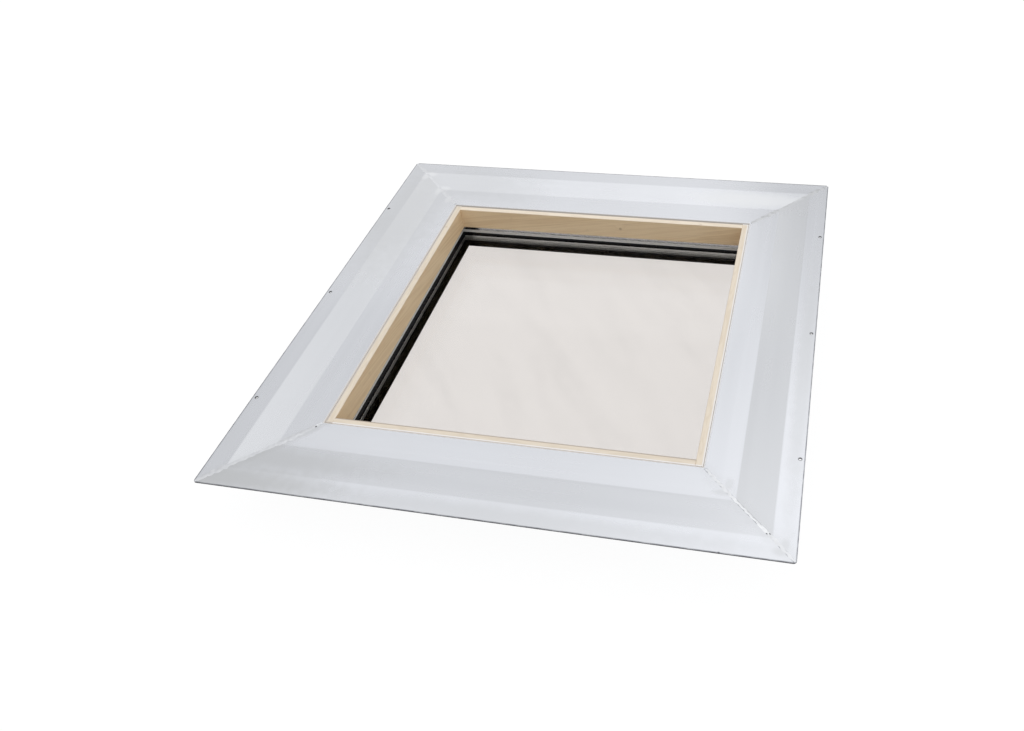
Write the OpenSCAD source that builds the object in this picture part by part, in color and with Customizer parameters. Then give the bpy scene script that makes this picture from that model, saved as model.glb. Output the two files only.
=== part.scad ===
// Fixed, square, self-flashing roof skylight, lying with its room side up and its glass towards the floor.
// Four folded aluminium sheets make the flange, the curb and the glazing seat. Wood boards line the curb.
// A sealed double-glazed unit sits on the seat, and a cap of screwed angles holds it there.
// All lengths are millimetres. The origin is at the centre of the base, and +Z points to the room side.
// Sections are drawn with "outwards from the centre" along X and "up" along Y, then run along a side.

/* [Opening] */
// Clear opening between the liner boards
clear_opening = 610; // [420:1:1200]
// Thickness of the liner boards
liner_t = 12.5; // [9:0.5:20]
// Height of the liner boards
liner_h = 46; // [30:1:50]
// Depth of the liner's edge below the flange's inner band
liner_setback = 1; // [0.5:0.5:3]
// Bevel on the two inner edges of a liner board
liner_bevel = 0.8; // [0.2:0.1:2]

/* [Flashing] */
// Thickness of the aluminium sheet
sheet_t = 2; // [1.5:0.1:3]
// Inside radius of the right-angle folds
bend_r = 2; // [1:0.5:3]
// Width of the flange from the curb to its outer edge
flange_w = 152.5; // [120:0.5:220]
// Width of the flat band along the outer edge
outer_band = 36.5; // [25:0.5:50]
// Width of the sloping middle band
middle_band = 59; // [30:0.5:70]
// Height that the middle band falls towards the opening
band_drop = 3.5; // [1:0.5:8]
// Height of the curb wall, from the glazing seat to the flange's inner band
curb_h = 68; // [62:1:120]
// Width of the glazing seat, from the curb's inner face to the lip's outer face
seat_w = 20.5; // [19:0.5:40]
// Height of the lip that is turned back from the seat
lip_h = 20; // [18:1:30]
// Radius of the flange's outer corners
corner_r = 5; // [2:0.5:15]

/* [Nail holes] */
// Diameter of a nail hole
nail_d = 4.5; // [3:0.1:8]
// Distance from the flange's outer edge to a nail hole
nail_inset = 8; // [6:0.5:20]
// Distance between nail holes along a side
nail_pitch = 285; // [80:1:320]

/* [Welds] */
// Width of a weld run on the flange
weld_w = 5; // [3:0.5:8]
// Depth of the groove that a weld run fills
weld_depth = 1.3; // [0.8:0.1:1.4]
// Height of a weld run's crown above the sheet
weld_crown = 0.5; // [0.2:0.1:1]
// Radius of the weld on the outer corners of the curb
wall_weld_r = 1.6; // [1:0.1:2]

/* [Glass unit] */
// Thickness of the pane on the room side
room_pane_t = 6; // [4:0.5:10]
// Thickness of the pane on the weather side
weather_pane_t = 4; // [4:0.5:10]
// Gap between the panes
cavity_h = 16; // [10:0.5:20]
// Distance that the glass reaches past the curb's inner face
glass_lap = 14.5; // [14:0.5:15.5]
// Bevel on the ground edges of the panes
glass_bevel = 0.6; // [0.2:0.1:1]
// Width of the sealant round the edge of the unit
edge_seal_w = 8; // [5:0.5:10]
// Width of a spacer bar
spacer_w = 7; // [5:0.5:9]
// Bevel on the sealant side of a spacer bar
spacer_bevel = 2; // [1.5:0.1:2.5]
// Wall thickness of a spacer bar
spacer_wall = 0.6; // [0.4:0.1:1]
// Width of the seam groove along a spacer bar
seam_w = 1.2; // [0.6:0.1:2]
// Depth of the seam groove along a spacer bar
seam_depth = 0.3; // [0.1:0.1:0.3]
// Thickness of the butyl seals
butyl_t = 0.5; // [0.3:0.1:1]
// Length of a corner key's leg inside a spacer bar
key_leg = 25; // [12:1:40]
// Space round a corner key's leg and round the desiccant
key_gap = 0.1; // [0.05:0.05:0.2]

/* [Glazing] */
// Thickness of the tape between the seat and the glass
tape_t = 4; // [3:0.5:6]
// Thickness of the sealant bead at its thin edge on the glass
bead_edge = 0.4; // [0.2:0.1:1]
// Height of the sealant bead above the glass
bead_h = 6; // [5:0.5:6.5]
// Length of a setting block
block_l = 60; // [20:1:120]
// Place of the setting blocks, as a share of the glass unit's half width
block_place_share = 0.5; // [0.3:0.05:0.7]

/* [Cap] */
// Thickness of the cap's angle section
cap_t = 2.5; // [2:0.1:4]
// Distance that the cap reaches in over the edge of the glass
cap_lap = 26; // [20:0.5:40]
// Height of the cap's side leg above the glazing seat
cap_side_h = 14.5; // [13:0.5:17]
// Radius of the cap's outer edge
cap_edge_r = 2.5; // [1:0.5:3]
// Bevel on the cap's inner edge
cap_nose = 1.5; // [0.5:0.1:1.8]
// Space between the cap's side leg and the lip
cap_gap = 0.3; // [0.1:0.1:0.5]
// Thickness of the gasket between cap and glass
gasket_t = 3; // [2:0.5:6]
// Distance that the gasket stands proud of the cap's inner edge
gasket_lip = 2; // [0.5:0.5:4]
// Distance of the gasket from the edge of the glass
gasket_inset = 2; // [1:0.5:4]

/* [Fasteners] */
// Shank diameter of the cap screws
cap_screw_d = 4.2; // [3:0.1:5]
// Shank length of the cap screws
cap_screw_l = 14; // [12:1:16]
// Head diameter of the cap screws
cap_head_d = 8.2; // [6:0.1:9]
// Head height of the cap screws
cap_head_h = 3; // [2:0.1:4]
// Distance between cap screws along a side
cap_screw_pitch = 250; // [80:1:280]
// Diameter of a sealing washer
washer_d = 10; // [9:0.5:12]
// Thickness of a sealing washer
washer_t = 1.5; // [1:0.1:2]
// Shank diameter of the liner screws
liner_screw_d = 3.5; // [2.5:0.1:4]
// Shank length of the liner screws
liner_screw_l = 11; // [8:0.5:11]
// Head diameter of the liner screws
liner_head_d = 7; // [5:0.1:8]
// Head height of the liner screws
liner_head_h = 2.4; // [1.5:0.1:3]
// Distance between liner screws along a side
liner_screw_pitch = 220; // [80:1:260]
// Space round a screw's shank in its hole
screw_gap = 0.05; // [0.02:0.01:0.1]

/* [Hidden] */
$fn = 64;

// Sides, as quarter turns from the front
FRONT = 0;
RIGHT = 1;
BACK = 2;
LEFT = 3;
SIDES = [FRONT, RIGHT, BACK, LEFT];
// Angles of a quarter turn and of a mitre
quarter_turn = 90;
mitre_turn = 45;
// Length of a mitre for each unit of width, as a share
mitre_share = sqrt(2);
// Overrun of every cut
overrun = 1;
// Share of a bevel that is lost when a section is set in by its wall
inset_bevel_share = 2 - sqrt(2);
// Depth and width of a screw's cross recess, as shares of the head's height and diameter
recess_depth_share = 0.5;
recess_width_share = 0.16;
recess_length_share = 0.6;
// Length of a screw's point, as a share of its diameter
point_share = 0.8;
// Radius of the dome of a screw's head, as a share of its diameter
dome_share = 0.62;
// Space round a cap screw's shank in the cap
cap_hole_gap = 0.4;
// Overlap of the straight stretches of a weld groove, and the stop between the weld runs that fill them
weld_lap = 0.5;
weld_stop = 0.1;

// Outside radius of the sheet's folds
fold_r = bend_r + sheet_t;

// Levels, from the cap's face upwards
z_gasket = cap_t;
z_weather_pane = z_gasket + gasket_t;
z_cavity = z_weather_pane + weather_pane_t;
z_room_pane = z_cavity + cavity_h;
z_tape = z_room_pane + room_pane_t;
z_seat = z_tape + tape_t;
z_inner_band = z_seat + curb_h;
z_outer_band = z_inner_band + band_drop;
z_liner_top = z_inner_band - liner_setback;
z_liner = z_liner_top - liner_h;
z_spacer = z_cavity + butyl_t;
z_spacer_top = z_room_pane - butyl_t;
z_seam = (z_spacer + z_spacer_top) / 2;
z_cap_top = z_seat + cap_side_h;
z_cap_screw = (z_seat + fold_r + z_cap_top) / 2;
z_liner_screw = z_liner + liner_h / 2;

// Distances from the centre, outwards
u_clear = clear_opening / 2;
u_wall = u_clear + liner_t;
u_wall_outside = u_wall + sheet_t;
u_edge = u_wall + flange_w;
u_outer_fold = u_edge - outer_band;
u_inner_fold = u_outer_fold - middle_band;
u_seat = u_wall + fold_r;
u_lip = u_wall + seat_w;
u_lip_fold = u_lip - fold_r;
u_glass = u_wall + glass_lap;
u_spacer_outside = u_glass - edge_seal_w;
u_spacer = u_spacer_outside - spacer_w;
u_bevel = u_spacer_outside - spacer_bevel;
u_cap_leg = u_lip + cap_gap;
u_cap = u_cap_leg + cap_t;
u_cap_nose = u_glass - cap_lap;
u_gasket = u_cap_nose - gasket_lip;
u_gasket_outside = u_glass - gasket_inset;
u_nail = u_edge - nail_inset;

// The bead's concave face is tooled round a point above its edge on the glass
bead_reach = tape_t + fold_r;
u_bead = u_wall - bead_reach;

// Turns a piece made for the front to one of the four sides
module on_side(side) {
    rotate([0, 0, side * quarter_turn])
        children();
}

// Runs a section along the front side
module run_along(length) {
    rotate([quarter_turn, 0, -quarter_turn])
        linear_extrude(height = length, center = true)
            children();
}

// The front side's share of a square frame, between its two mitres
module mitred_plan(reach) {
    polygon([[0, 0], [-reach, -reach], [reach, -reach]]);
}

// A section run along the front side, with mitred ends
module mitred_run(reach) {
    intersection() {
        run_along(2 * reach)
            children();
        linear_extrude(height = z_outer_band)
            mitred_plan(reach);
    }
}

// Points a piece outwards from the front side, with its base at the distance u
module pointing_out(along, u, z) {
    translate([along, 0, z])
        rotate([quarter_turn, 0, 0])
            translate([0, 0, u])
                children();
}

// A round hole through the front side at the distance u, half on each side of it
module side_hole(along, u, z, d, depth) {
    pointing_out(along, u, z)
        cylinder(d = d, h = 2 * depth, center = true);
}

// Places of three fasteners along a side
function three_along(pitch) = [-pitch, 0, pitch];

// A right-angle fold of the sheet, which leaves its centre towards the given quarter
module sheet_fold(u, z, quarter) {
    translate([u, z])
        rotate(quarter * quarter_turn)
            intersection() {
                difference() {
                    circle(r = fold_r);
                    circle(r = bend_r);
                }
                square(fold_r);
            }
}

// The folded sheet: outer, middle and inner bands, curb wall, glazing seat and lip
module flashing_section() {
    translate([u_outer_fold, z_outer_band - sheet_t])
        square([outer_band, sheet_t]);
    polygon([
        [u_outer_fold, z_outer_band],
        [u_inner_fold, z_inner_band],
        [u_inner_fold, z_inner_band - sheet_t],
        [u_outer_fold, z_outer_band - sheet_t]
    ]);
    translate([u_seat, z_inner_band - sheet_t])
        square([u_inner_fold - u_seat, sheet_t]);
    sheet_fold(u_seat, z_inner_band - fold_r, 1);
    translate([u_wall, z_seat + fold_r])
        square([sheet_t, curb_h - 2 * fold_r]);
    sheet_fold(u_seat, z_seat + fold_r, 2);
    translate([u_seat, z_seat])
        square([u_lip_fold - u_seat, sheet_t]);
    sheet_fold(u_lip_fold, z_seat + fold_r, 3);
    translate([u_lip - sheet_t, z_seat + fold_r])
        square([sheet_t, lip_h - fold_r]);
}

// The flange's outline, with rounded corners
module flange_outline() {
    u_corner = u_edge - corner_r;
    for (turn = [0, 1])
        rotate(turn * quarter_turn)
            square([2 * u_edge, 2 * u_corner], center = true);
    for (x = [-u_corner, u_corner], y = [-u_corner, u_corner])
        translate([x, y])
            circle(r = corner_r);
}

// The groove that a weld run fills, open at the top
module weld_groove_section() {
    polygon([
        [-weld_w / 2, overrun],
        [-weld_w / 2, 0],
        [0, -weld_depth],
        [weld_w / 2, 0],
        [weld_w / 2, overrun]
    ]);
}

// A weld run: the groove filled, and a low round crown
module weld_section() {
    crown_r = (weld_w * weld_w / 4 + weld_crown * weld_crown) / (2 * weld_crown);
    polygon([[-weld_w / 2, 0], [0, -weld_depth], [weld_w / 2, 0]]);
    intersection() {
        translate([0, weld_crown - crown_r])
            circle(r = crown_r);
        translate([-weld_w / 2, 0])
            square([weld_w, weld_crown]);
    }
}

// One straight stretch along the mitre line, which lies on the X axis here, longer by a lap at each end
module weld_stretch(start, length, z, tilt, lap) {
    translate([start, 0, z])
        rotate([0, -tilt, 0])
            translate([-lap, 0, 0])
                rotate([quarter_turn, 0, quarter_turn])
                    linear_extrude(height = length + 2 * lap)
                        children();
}

// The three stretches of a mitre, from the curb to the corner, on the front right
module along_mitre(lap) {
    slope_run = mitre_share * middle_band;
    slope = atan(band_drop / slope_run);
    rotate([0, 0, -mitre_turn]) {
        weld_stretch(mitre_share * u_seat, mitre_share * (u_inner_fold - u_seat), z_inner_band, 0, lap)
            children();
        weld_stretch(mitre_share * u_inner_fold, norm([slope_run, band_drop]), z_inner_band, slope, lap)
            children();
        weld_stretch(mitre_share * u_outer_fold, mitre_share * outer_band, z_outer_band, 0, lap)
            children();
    }
}

// The weld along the outer corner of the curb, on the front right
module wall_weld() {
    translate([u_wall_outside, -u_wall_outside, z_seat + fold_r])
        cylinder(r = wall_weld_r, h = curb_h - 2 * fold_r);
}

// One side of the flashing frame: a folded sheet with mitred, grooved ends and its holes
module flashing_side(side, nail_holes) {
    color("lightsteelblue")
        on_side(side)
            difference() {
                intersection() {
                    run_along(2 * u_edge)
                        flashing_section();
                    linear_extrude(height = z_outer_band)
                        intersection() {
                            flange_outline();
                            mitred_plan(u_edge);
                        }
                }
                for (turn = [0, -1])
                    on_side(turn) {
                        along_mitre(weld_lap)
                            weld_groove_section();
                        wall_weld();
                    }
                for (along = three_along(liner_screw_pitch))
                    side_hole(along, u_wall, z_liner_screw, liner_screw_d + 2 * screw_gap, fold_r);
                for (along = three_along(cap_screw_pitch))
                    side_hole(along, u_lip, z_cap_screw, cap_screw_d + 2 * screw_gap, fold_r);
                if (nail_holes)
                    for (along = three_along(nail_pitch))
                        translate([along, -u_nail, z_inner_band])
                            cylinder(d = nail_d, h = 2 * fold_r + 2 * band_drop, center = true);
            }
}

module flashing_front() { flashing_side(FRONT, false); }
module flashing_right() { flashing_side(RIGHT, true); }
module flashing_back() { flashing_side(BACK, false); }
module flashing_left() { flashing_side(LEFT, true); }

// Weld runs on the four mitres and on the four outer corners of the curb
module corner_welds() {
    color("silver")
        for (side = SIDES)
            on_side(side) {
                intersection() {
                    along_mitre(-weld_stop)
                        weld_section();
                    linear_extrude(height = z_outer_band + weld_crown + overrun)
                        flange_outline();
                }
                wall_weld();
            }
}

// A liner board with bevelled inner edges
module liner_section() {
    polygon([
        [u_clear, z_liner + liner_bevel],
        [u_clear + liner_bevel, z_liner],
        [u_wall, z_liner],
        [u_wall, z_liner_top],
        [u_clear + liner_bevel, z_liner_top],
        [u_clear, z_liner_top - liner_bevel]
    ]);
}

// One liner board with its screw holes
module liner_board(side, length) {
    color("burlywood")
        on_side(side)
            difference() {
                run_along(length)
                    liner_section();
                for (along = three_along(liner_screw_pitch))
                    side_hole(along, u_wall, z_liner_screw, liner_screw_d + 2 * screw_gap,
                        liner_screw_l - sheet_t);
            }
}

// The side boards run through, and the front and back boards butt between them
module liner_front() { liner_board(FRONT, clear_opening); }
module liner_right() { liner_board(RIGHT, 2 * u_wall); }
module liner_back() { liner_board(BACK, clear_opening); }
module liner_left() { liner_board(LEFT, 2 * u_wall); }

// A pan-head screw that stands on its head's seat, with its shank downwards
module pan_screw(shank_d, shank_l, head_d, head_h) {
    point_l = point_share * shank_d;
    dome_r = dome_share * head_d;
    difference() {
        intersection() {
            cylinder(d = head_d, h = head_h);
            translate([0, 0, head_h - dome_r])
                sphere(r = dome_r);
        }
        translate([0, 0, head_h])
            for (turn = [0, 1])
                rotate([0, 0, turn * quarter_turn])
                    cube([recess_length_share * head_d, recess_width_share * head_d,
                        2 * recess_depth_share * head_h], center = true);
    }
    translate([0, 0, point_l - shank_l])
        cylinder(d = shank_d, h = shank_l - point_l);
    translate([0, 0, -shank_l])
        cylinder(d1 = shank_d / 4, d2 = shank_d, h = point_l);
}

// Screws through the curb wall into the liner boards
module liner_screws() {
    color("gray")
        for (side = SIDES, along = three_along(liner_screw_pitch))
            on_side(side)
                pointing_out(along, u_wall_outside, z_liner_screw)
                    pan_screw(liner_screw_d, liner_screw_l, liner_head_d, liner_head_h);
}

// A pane's section, with ground edges
module pane_section(z, t) {
    polygon([
        [-u_glass, z + glass_bevel],
        [glass_bevel - u_glass, z],
        [u_glass - glass_bevel, z],
        [u_glass, z + glass_bevel],
        [u_glass, z + t - glass_bevel],
        [u_glass - glass_bevel, z + t],
        [glass_bevel - u_glass, z + t],
        [-u_glass, z + t - glass_bevel]
    ]);
}

// A square pane, ground along all four edges
module pane(z, t) {
    color("lightcyan", 0.4)
        intersection_for (side = [FRONT, RIGHT])
            on_side(side)
                run_along(2 * u_glass)
                    pane_section(z, t);
}

module room_pane() { pane(z_room_pane, room_pane_t); }
module weather_pane() { pane(z_weather_pane, weather_pane_t); }

// A spacer bar's outline, set in by a wall: flat towards the room of the unit, bevelled towards the sealant
module spacer_outline(wall) {
    bevel = spacer_bevel - inset_bevel_share * wall;
    inside = u_spacer + wall;
    outside = u_spacer_outside - wall;
    polygon([
        [inside, z_spacer + wall],
        [outside - bevel, z_spacer + wall],
        [outside, z_spacer + wall + bevel],
        [outside, z_spacer_top - wall - bevel],
        [outside - bevel, z_spacer_top - wall],
        [inside, z_spacer_top - wall]
    ]);
}

// A hollow spacer bar with a seam groove along its visible face
module spacer_bar(side) {
    color("dimgray")
        on_side(side)
            run_along(2 * u_spacer)
                difference() {
                    spacer_outline(0);
                    spacer_outline(spacer_wall);
                    polygon([
                        [u_spacer, z_seam - seam_w / 2],
                        [u_spacer + seam_depth, z_seam],
                        [u_spacer, z_seam + seam_w / 2]
                    ]);
                }
}

module spacer_front() { spacer_bar(FRONT); }
module spacer_right() { spacer_bar(RIGHT); }
module spacer_back() { spacer_bar(BACK); }
module spacer_left() { spacer_bar(LEFT); }

// Corner keys: a block that fills the corner, and a leg into each of its two bars
module corner_keys() {
    color("darkslategray")
        for (side = SIDES)
            on_side(side) {
                intersection_for (turn = [FRONT, RIGHT])
                    on_side(turn)
                        run_along(2 * u_spacer_outside)
                            spacer_outline(0);
                intersection() {
                    for (turn = [FRONT, RIGHT])
                        on_side(turn)
                            run_along(2 * u_spacer)
                                spacer_outline(spacer_wall + key_gap);
                    translate([u_spacer - key_leg, -u_spacer_outside, z_spacer])
                        cube([key_leg + spacer_w, key_leg + spacer_w, cavity_h]);
                }
            }
}

// The drying beads that fill each spacer bar between the keys, as one solid a bar
module desiccant() {
    color("tan")
        for (side = SIDES)
            on_side(side)
                run_along(2 * (u_spacer - key_leg - key_gap))
                    spacer_outline(spacer_wall + key_gap);
}

// A butyl seal between the flat flanks of the bars and a pane
module butyl_ring(z) {
    color("black")
        translate([0, 0, z])
            linear_extrude(height = butyl_t)
                difference() {
                    square(2 * u_bevel, center = true);
                    square(2 * u_spacer, center = true);
                }
}

module room_butyl() { butyl_ring(z_spacer_top); }
module weather_butyl() { butyl_ring(z_cavity); }

// The sealant that fills the unit's edge, behind the spacer bars and over their bevels
module edge_sealant() {
    color("black")
        for (side = SIDES)
            on_side(side)
                mitred_run(u_glass)
                    polygon([
                        [u_bevel, z_cavity],
                        [u_glass, z_cavity],
                        [u_glass, z_room_pane],
                        [u_bevel, z_room_pane],
                        [u_bevel, z_spacer_top],
                        [u_spacer_outside, z_spacer_top - spacer_bevel],
                        [u_spacer_outside, z_spacer + spacer_bevel],
                        [u_bevel, z_spacer]
                    ]);
}

// A strip of glazing tape on the seat
module seat_tape(side, length) {
    color("black")
        on_side(side)
            run_along(length)
                translate([u_seat, z_tape])
                    square([u_glass - u_seat, tape_t]);
}

// The front and back strips run through, and the side strips butt between them
module seat_tape_front() { seat_tape(FRONT, 2 * u_glass); }
module seat_tape_right() { seat_tape(RIGHT, 2 * u_seat); }
module seat_tape_back() { seat_tape(BACK, 2 * u_glass); }
module seat_tape_left() { seat_tape(LEFT, 2 * u_seat); }

// The sealant bead in the corner between the curb and the glass, tooled to a hollow
module heel_bead() {
    color("black")
        for (side = SIDES)
            on_side(side)
                mitred_run(u_seat)
                    difference() {
                        translate([u_bead, z_tape])
                            square([u_seat - u_bead, bead_h]);
                        translate([u_bead, z_tape + bead_reach])
                            circle(r = bead_reach - bead_edge);
                        translate([u_seat, z_seat + fold_r])
                            circle(r = fold_r);
                    }
}

// Blocks between the edge of the glass unit and the cap, two a side
module setting_blocks() {
    color("black")
        for (side = SIDES, end = [-1, 1])
            on_side(side)
                translate([end * block_place_share * u_glass, 0, 0])
                    run_along(block_l)
                        translate([u_glass, z_weather_pane])
                            square([u_cap_leg - u_glass, z_tape - z_weather_pane]);
}

// A gasket strip with a half-round lip towards the opening
module cap_gasket(side) {
    color("black")
        on_side(side)
            mitred_run(u_glass)
                translate([u_gasket + gasket_t / 2, z_gasket]) {
                    square([u_gasket_outside - u_gasket - gasket_t / 2, gasket_t]);
                    translate([0, gasket_t / 2])
                        circle(d = gasket_t);
                }
}

module cap_gasket_front() { cap_gasket(FRONT); }
module cap_gasket_right() { cap_gasket(RIGHT); }
module cap_gasket_back() { cap_gasket(BACK); }
module cap_gasket_left() { cap_gasket(LEFT); }

// The cap's angle section: a leg under the glass, a side leg, a round outer edge and a bevelled nose
module cap_section() {
    difference() {
        union() {
            translate([u_cap_nose, 0])
                square([u_cap - u_cap_nose, cap_t]);
            translate([u_cap_leg, 0])
                square([cap_t, z_cap_top]);
        }
        polygon([
            [u_cap_nose - overrun, -overrun],
            [u_cap_nose + cap_nose + overrun, -overrun],
            [u_cap_nose - overrun, cap_nose + overrun]
        ]);
        translate([u_cap - cap_edge_r, 0])
            difference() {
                translate([0, -overrun])
                    square([cap_edge_r + overrun, cap_edge_r + overrun]);
                translate([0, cap_edge_r])
                    circle(r = cap_edge_r);
            }
    }
}

// One side of the cap, mitred, with its screw holes
module cap_side(side) {
    color("silver")
        on_side(side)
            difference() {
                mitred_run(u_cap)
                    cap_section();
                for (along = three_along(cap_screw_pitch))
                    side_hole(along, u_cap, z_cap_screw, cap_screw_d + 2 * cap_hole_gap, cap_t + cap_gap);
            }
}

module cap_front() { cap_side(FRONT); }
module cap_right() { cap_side(RIGHT); }
module cap_back() { cap_side(BACK); }
module cap_left() { cap_side(LEFT); }

// Screws through the washers and the cap into the lip
module cap_screws() {
    color("gray")
        for (side = SIDES, along = three_along(cap_screw_pitch))
            on_side(side)
                pointing_out(along, u_cap + washer_t, z_cap_screw)
                    pan_screw(cap_screw_d, cap_screw_l, cap_head_d, cap_head_h);
}

// Sealing washers under the heads of the cap screws
module cap_washers() {
    bore_d = cap_screw_d + 2 * screw_gap;
    color("black")
        for (side = SIDES, along = three_along(cap_screw_pitch))
            on_side(side)
                pointing_out(along, u_cap, z_cap_screw)
                    difference() {
                        cylinder(d = washer_d, h = washer_t);
                        cylinder(d = bore_d, h = 2 * (washer_t + overrun), center = true);
                    }
}

flashing_front();
flashing_right();
flashing_back();
flashing_left();
corner_welds();
liner_front();
liner_right();
liner_back();
liner_left();
liner_screws();
room_pane();
weather_pane();
spacer_front();
spacer_right();
spacer_back();
spacer_left();
corner_keys();
desiccant();
room_butyl();
weather_butyl();
edge_sealant();
seat_tape_front();
seat_tape_right();
seat_tape_back();
seat_tape_left();
heel_bead();
setting_blocks();
cap_gasket_front();
cap_gasket_right();
cap_gasket_back();
cap_gasket_left();
cap_front();
cap_right();
cap_back();
cap_left();
cap_screws();
cap_washers();
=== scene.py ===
import math

import bmesh
import bpy
from mathutils import Matrix, Vector, noise


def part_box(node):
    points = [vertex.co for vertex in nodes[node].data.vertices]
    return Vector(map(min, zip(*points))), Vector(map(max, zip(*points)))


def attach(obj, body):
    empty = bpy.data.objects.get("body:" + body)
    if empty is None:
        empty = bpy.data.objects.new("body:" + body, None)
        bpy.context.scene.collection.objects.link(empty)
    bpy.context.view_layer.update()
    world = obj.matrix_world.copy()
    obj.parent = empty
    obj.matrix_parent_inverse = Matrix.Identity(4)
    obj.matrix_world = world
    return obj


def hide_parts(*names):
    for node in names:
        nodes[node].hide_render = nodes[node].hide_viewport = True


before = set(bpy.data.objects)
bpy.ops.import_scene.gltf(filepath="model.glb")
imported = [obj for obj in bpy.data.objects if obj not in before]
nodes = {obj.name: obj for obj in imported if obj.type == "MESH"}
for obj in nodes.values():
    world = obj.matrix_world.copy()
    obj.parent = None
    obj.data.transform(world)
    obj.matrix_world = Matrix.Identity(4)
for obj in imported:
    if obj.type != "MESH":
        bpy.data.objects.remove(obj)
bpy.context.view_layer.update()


# Flashing: four strips of mill-finish aluminium sheet, one a side, folded to a flange with three bands,
# a curb wall, a glazing seat and a lip. Their ends are mitred, and the welds join them there.
# The sheet keeps faint rolling streaks and handling marks, and the mitres are sanded by hand. Its colour also
# holds painted light and shade: a tone by side, the middle band, long spots, the cut edge, rings round the
# nail holes, the crevice by the board, and the curb wall's inside with a painted highlight line at its foot.
runs_along_x = {"front": True, "right": False, "back": True, "left": False}
flange_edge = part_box("flashing_front")[0].y * -1
flange_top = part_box("flashing_front")[1].z
outer_band = 0.0365
middle_band = 0.059
band_drop = 0.0035
outer_fold = flange_edge - outer_band
inner_fold = outer_fold - middle_band
fold_blur = 0.0008
corner_r = 0.005
nail_inset = 0.008
nail_line = flange_edge - nail_inset
nail_spacing = 0.285
nail_r = 0.00225
curb_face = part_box("liner_left")[0].x * -1
bead_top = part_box("heel_bead")[1].z
board_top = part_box("liner_front")[1].z
sheet_shades = (0.790, 0.800, 0.832), (0.816, 0.826, 0.858), (0.785, 0.793, 0.818)
# Sanded grey is sanding and also painted shade, brushed pale is rubbing and also painted light.
sanded_grey_and_shade = (0.66, 0.665, 0.67)
brushed_pale_and_light = (0.88, 0.885, 0.895)
# Painted shade: the nick's dark spot and the dark rings round the nail holes.
nick_shade = (0.06, 0.06, 0.065)
hole_ring_shade = (0.10, 0.10, 0.11)
# The edge's darkening is partly grime and partly painted shade.
grime_and_edge_shade = (0.16, 0.16, 0.18)
# Painted shade on the curb wall's inside, and a painted highlight line at its foot.
wall_painted_shade = (0.10, 0.095, 0.09)
painted_highlight_pale = (0.72, 0.71, 0.69)
# Near-black edge colours, partly oxide and partly painted shade.
torn_and_shaded = (0.03, 0.03, 0.033), (0.12, 0.12, 0.13)


def add_node(tree, kind, inputs=None, **settings):
    """A node of a finish, with its settings and with values or other nodes' outputs on its inputs."""
    made = tree.nodes.new(kind)
    for setting, value in settings.items():
        setattr(made, setting, value)
    for socket, value in (inputs or {}).items():
        if isinstance(value, bpy.types.NodeSocket):
            tree.links.new(value, made.inputs[socket])
        else:
            made.inputs[socket].default_value = value
    return made


def new_finish(name, **constants):
    """A finish with constant values on its surface shader: its material, node tree and object coordinates."""
    material = bpy.data.materials.new(name)
    material.use_nodes = True
    tree = material.node_tree
    for socket, value in constants.items():
        tree.nodes["Principled BSDF"].inputs[socket.replace("_", " ")].default_value = value
    place = add_node(tree, "ShaderNodeTexCoord").outputs["Object"]
    return material, tree, place


def to_surface(tree, **outputs):
    """Joins outputs to the surface shader's sockets."""
    for socket, output in outputs.items():
        tree.links.new(output, tree.nodes["Principled BSDF"].inputs[socket.replace("_", " ")])


def lengthwise(along_x, length, across):
    """A scale for a strip's pattern: one value along the strip and another across it."""
    return (length, across, across) if along_x else (across, length, across)


def stretched(tree, place, scale, turn=(0.0, 0.0, 0.0), shift=(0.0, 0.0, 0.0)):
    """Coordinates that are turned, then scaled along each axis and shifted."""
    turned = add_node(tree, "ShaderNodeMapping", {"Vector": place, "Rotation": turn}).outputs["Vector"]
    inputs = {"Vector": turned, "Location": shift, "Scale": scale}
    return add_node(tree, "ShaderNodeMapping", inputs).outputs["Vector"]


def grain(tree, place, scale=1.0, detail=3.0, roughness=0.5, distortion=0.0):
    """Soft noise from 0 to 1."""
    inputs = {"Vector": place, "Scale": scale, "Detail": detail, "Roughness": roughness,
              "Distortion": distortion}
    return add_node(tree, "ShaderNodeTexNoise", inputs).outputs["Fac"]


def between(tree, value, low, high, to_low=0.0, to_high=1.0):
    """A value's range from low to high, spread smoothly over another range."""
    inputs = {"Value": value, "From Min": low, "From Max": high, "To Min": to_low, "To Max": to_high}
    return add_node(tree, "ShaderNodeMapRange", inputs, interpolation_type="SMOOTHSTEP").outputs["Result"]


def sum_of(tree, operation, first, second=0.0):
    """Two values, or a value and a number, put together by a plain sum."""
    return add_node(tree, "ShaderNodeMath", {0: first, 1: second}, operation=operation).outputs["Value"]


def tinted(tree, share, first, second):
    """One colour laid over another by a share."""
    made = add_node(tree, "ShaderNodeMix", data_type="RGBA")
    for socket, value in ((0, share), (6, first), (7, second)):
        if isinstance(value, bpy.types.NodeSocket):
            tree.links.new(value, made.inputs[socket])
        else:
            made.inputs[socket].default_value = value if socket == 0 else (*value, 1.0)
    return made.outputs[2]


def raised(tree, height, depth, strength=1.0, under=None):
    """A bump of a real depth in metres, laid over another one."""
    inputs = {"Height": height, "Distance": depth, "Strength": strength}
    if under:
        inputs["Normal"] = under
    return add_node(tree, "ShaderNodeBump", inputs).outputs["Normal"]


def axes_of(tree, place):
    """The three coordinates of a place, as separate values."""
    return add_node(tree, "ShaderNodeSeparateXYZ", {"Vector": place}).outputs


def distance_to(tree, place, centre):
    """Distance of a place from a fixed point."""
    inputs = {0: place, 1: centre}
    return add_node(tree, "ShaderNodeVectorMath", inputs, operation="DISTANCE").outputs["Value"]


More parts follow.
